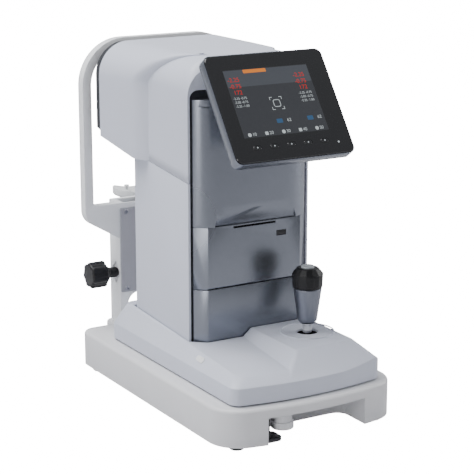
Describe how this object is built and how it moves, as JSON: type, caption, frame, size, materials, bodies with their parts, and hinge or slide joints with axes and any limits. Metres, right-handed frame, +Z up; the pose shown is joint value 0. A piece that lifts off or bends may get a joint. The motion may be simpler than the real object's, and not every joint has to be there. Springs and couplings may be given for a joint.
{
  "type": "autorefractor",
  "caption": "Tabletop eye-refraction instrument: joystick-driven sliding stage, lifting optical head with tilting display and printer, chin and forehead rest.",
  "frame": {"origin": "on the table, under the middle of the whole instrument's bounding box", "axes": "+X is the operator's right, -Y faces the operator, +Y faces the patient, +Z is up"},
  "size_m": [0.244, 0.472, 0.441],
  "materials": {
    "shell_white": "fine moulded texture, cool off-white",
    "base_grey": "fine moulded texture, warm light grey",
    "frame_paint": "light grey powder paint on cast aluminium",
    "panel_silver": "metallic silver-grey paint",
    "plate_grey": "lilac-grey paint",
    "dark_plastic": "matt black moulding",
    "knob_black": "satin black",
    "chrome": "polished",
    "grip_silver": "satin turned",
    "button_grey": "satin",
    "steel": "ground",
    "dark_steel": "blackened",
    "cast_alu": "as cast",
    "brass": "turned",
    "screen_glass": "black backed gloss",
    "lens_glass": "coated",
    "window_glass": "dark tinted",
    "lcd": "display module",
    "rubber": "matt",
    "pad": "soft silicone",
    "pcb": "solder mask",
    "paper": "thermal paper",
    "key": "black key cap",
    "latch": "satin black",
    "cup": "white moulding",
    "screws": "cross-head"
  },
  "bodies": {
    "base": {"base_housing": "base_grey", "bottom_plate": "steel", "rubber_feet": "rubber", "depth_rails": "steel", "inlet_socket": "dark_plastic", "lock_bracket": "dark_steel", "headrest_frame": "frame_paint", "trunk_plate": "plate_grey", "trunk_screws": "screws", "chin_guides": "steel", "forehead_pad": "pad"},
    "power_rocker": {"power_rocker": "dark_plastic"},
    "lock_knob": {"lock_knob": "base_grey"},
    "chin_rest": {"chin_carriage": "cast_alu", "chin_cup": "cup"},
    "chin_drive": {"chin_knob": "knob_black", "chin_shaft": "dark_steel"},
    "chin_screw": {"chin_screw": "steel"},
    "cross_slide": {"cross_slide": "cast_alu"},
    "stage": {"stage_cover": "shell_white", "stage_chassis": "cast_alu", "lateral_rods": "steel", "lift_posts": "steel", "lift_motor": "dark_steel", "lift_belt": "rubber", "joystick_socket": "dark_plastic"},
    "lift_screw": {"lift_screw": "steel"},
    "joystick_gimbal": {"joystick_gimbal": "cast_alu"},
    "joystick": {"joystick_shaft": "chrome", "joystick_grip": "grip_silver"},
    "joystick_knob": {"joystick_knob": "knob_black"},
    "measure_button": {"measure_button": "button_grey"},
    "head": {"head_chassis": "cast_alu", "lift_nut": "brass", "column_cover": "shell_white", "head_cover": "shell_white", "front_frame": "dark_plastic", "upper_panel": "panel_silver", "lower_panel": "panel_silver", "rear_bezel": "dark_plastic", "window_glass": "window_glass", "led_ring": "pcb", "optical_barrel": "dark_plastic", "objective_lens": "lens_glass", "printer_cradle": "dark_plastic", "print_mechanism": "steel", "main_board": "pcb", "monitor_bracket": "cast_alu"},
    "printer_door": {"printer_door": "panel_silver"},
    "door_latch": {"door_latch": "latch"},
    "paper_roll": {"paper_roll": "paper"},
    "platen_roller": {"platen_roller": "rubber"},
    "monitor": {"monitor_shell": "panel_silver", "monitor_glass": "screen_glass", "lcd_panel": "lcd"},
    "key_1": {"key_1": "key"},
    "key_2": {"key_2": "key"},
    "key_3": {"key_3": "key"},
    "key_4": {"key_4": "key"},
    "key_5": {"key_5": "key"}
  },
  "joints": [
    {"name": "stage_depth", "type": "slide", "parent": "base", "child": "cross_slide", "axis": [0, 1, 0], "range_m": [-0.03, 0.009]},
    {"name": "stage_lateral", "type": "slide", "parent": "cross_slide", "child": "stage", "axis": [1, 0, 0], "range_m": [-0.042, 0.042]},
    {"name": "head_lift", "type": "slide", "parent": "stage", "child": "head", "axis": [0, 0, 1], "range_m": [-0.014, 0.015]},
    {"name": "lift_screw_spin", "type": "hinge", "parent": "stage", "child": "lift_screw", "pos_m": [0, -0.0055, 0.166], "axis": [0, 0, 1], "range_deg": [-1082, 1010]},
    {"name": "joystick_pitch", "type": "hinge", "parent": "stage", "child": "joystick_gimbal", "pos_m": [0.0454, -0.137, 0.078], "axis": [1, 0, 0], "range_deg": [-11, 11]},
    {"name": "joystick_roll", "type": "hinge", "parent": "joystick_gimbal", "child": "joystick", "pos_m": [0.0454, -0.137, 0.078], "axis": [0, 1, 0], "range_deg": [-11, 11]},
    {"name": "joystick_knob_turn", "type": "hinge", "parent": "joystick", "child": "joystick_knob", "pos_m": [0.0454, -0.137, 0.165], "axis": [0, 0, 1], "range_deg": [-506, 542]},
    {"name": "measure_button_press", "type": "slide", "parent": "joystick", "child": "measure_button", "axis": [0, 0, 1], "range_m": [-0.002, 0], "stiffness_N_per_m": 500, "springref_m": 0.0005},
    {"name": "chin_lift", "type": "slide", "parent": "base", "child": "chin_rest", "axis": [0, 0, 1], "range_m": [-0.03, 0.03]},
    {"name": "chin_knob_turn", "type": "hinge", "parent": "base", "child": "chin_drive", "pos_m": [-0.095, 0.16, 0.1215], "axis": [1, 0, 0], "range_deg": [-2702, 2702]},
    {"name": "chin_screw_spin", "type": "hinge", "parent": "base", "child": "chin_screw", "pos_m": [0, 0.16, 0.15], "axis": [0, 0, 1], "range_deg": [-2702, 2702]},
    {"name": "lock_knob_turn", "type": "hinge", "parent": "base", "child": "lock_knob", "pos_m": [-0.041, -0.218, 0.029], "axis": [0, 0, 1], "range_deg": [0, 270]},
    {"name": "power_rocker_tilt", "type": "hinge", "parent": "base", "child": "power_rocker", "pos_m": [-0.088, 0.155, 0.029], "axis": [1, 0, 0], "range_deg": [-14, 0]},
    {"name": "printer_door_open", "type": "hinge", "parent": "head", "child": "printer_door", "pos_m": [0, -0.0855, 0.159], "axis": [1, 0, 0], "range_deg": [0, 34]},
    {"name": "door_latch_press", "type": "slide", "parent": "printer_door", "child": "door_latch", "axis": [0, 1, 0], "range_m": [0, 0.0015], "stiffness_N_per_m": 400, "springref_m": -0.0005},
    {"name": "paper_roll_spin", "type": "hinge", "parent": "head", "child": "paper_roll", "pos_m": [0, -0.045, 0.184], "axis": [1, 0, 0], "continuous": true},
    {"name": "platen_spin", "type": "hinge", "parent": "head", "child": "platen_roller", "pos_m": [0, -0.0765, 0.221], "axis": [1, 0, 0], "continuous": true},
    {"name": "monitor_tilt", "type": "hinge", "parent": "head", "child": "monitor", "pos_m": [0, -0.103, 0.3925], "axis": [1, 0, 0], "range_deg": [-10, 20]},
    {"name": "key_1_press", "type": "slide", "parent": "monitor", "child": "key_1", "axis": [0, 0.8141, -0.5807], "range_m": [0, 0.0006], "stiffness_N_per_m": 400, "springref_m": -0.0004},
    {"name": "key_2_press", "type": "slide", "parent": "monitor", "child": "key_2", "axis": [0, 0.8141, -0.5807], "range_m": [0, 0.0006], "stiffness_N_per_m": 400, "springref_m": -0.0004},
    {"name": "key_3_press", "type": "slide", "parent": "monitor", "child": "key_3", "axis": [0, 0.8141, -0.5807], "range_m": [0, 0.0006], "stiffness_N_per_m": 400, "springref_m": -0.0004},
    {"name": "key_4_press", "type": "slide", "parent": "monitor", "child": "key_4", "axis": [0, 0.8141, -0.5807], "range_m": [0, 0.0006], "stiffness_N_per_m": 400, "springref_m": -0.0004},
    {"name": "key_5_press", "type": "slide", "parent": "monitor", "child": "key_5", "axis": [0, 0.8141, -0.5807], "range_m": [0, 0.0006], "stiffness_N_per_m": 400, "springref_m": -0.0004}
  ],
  "couplings": [
    {"joint": "lift_screw_spin", "follows": "head_lift", "rad_per_m": -1256.6},
    {"joint": "joystick_knob_turn", "follows": "head_lift", "rad_per_m": 628.32},
    {"joint": "chin_screw_spin", "follows": "chin_lift", "rad_per_m": -1570.8},
    {"joint": "chin_knob_turn", "follows": "chin_lift", "rad_per_m": 1570.8},
    {"joint": "platen_spin", "follows": "paper_roll_spin", "ratio": -4}
  ]
}
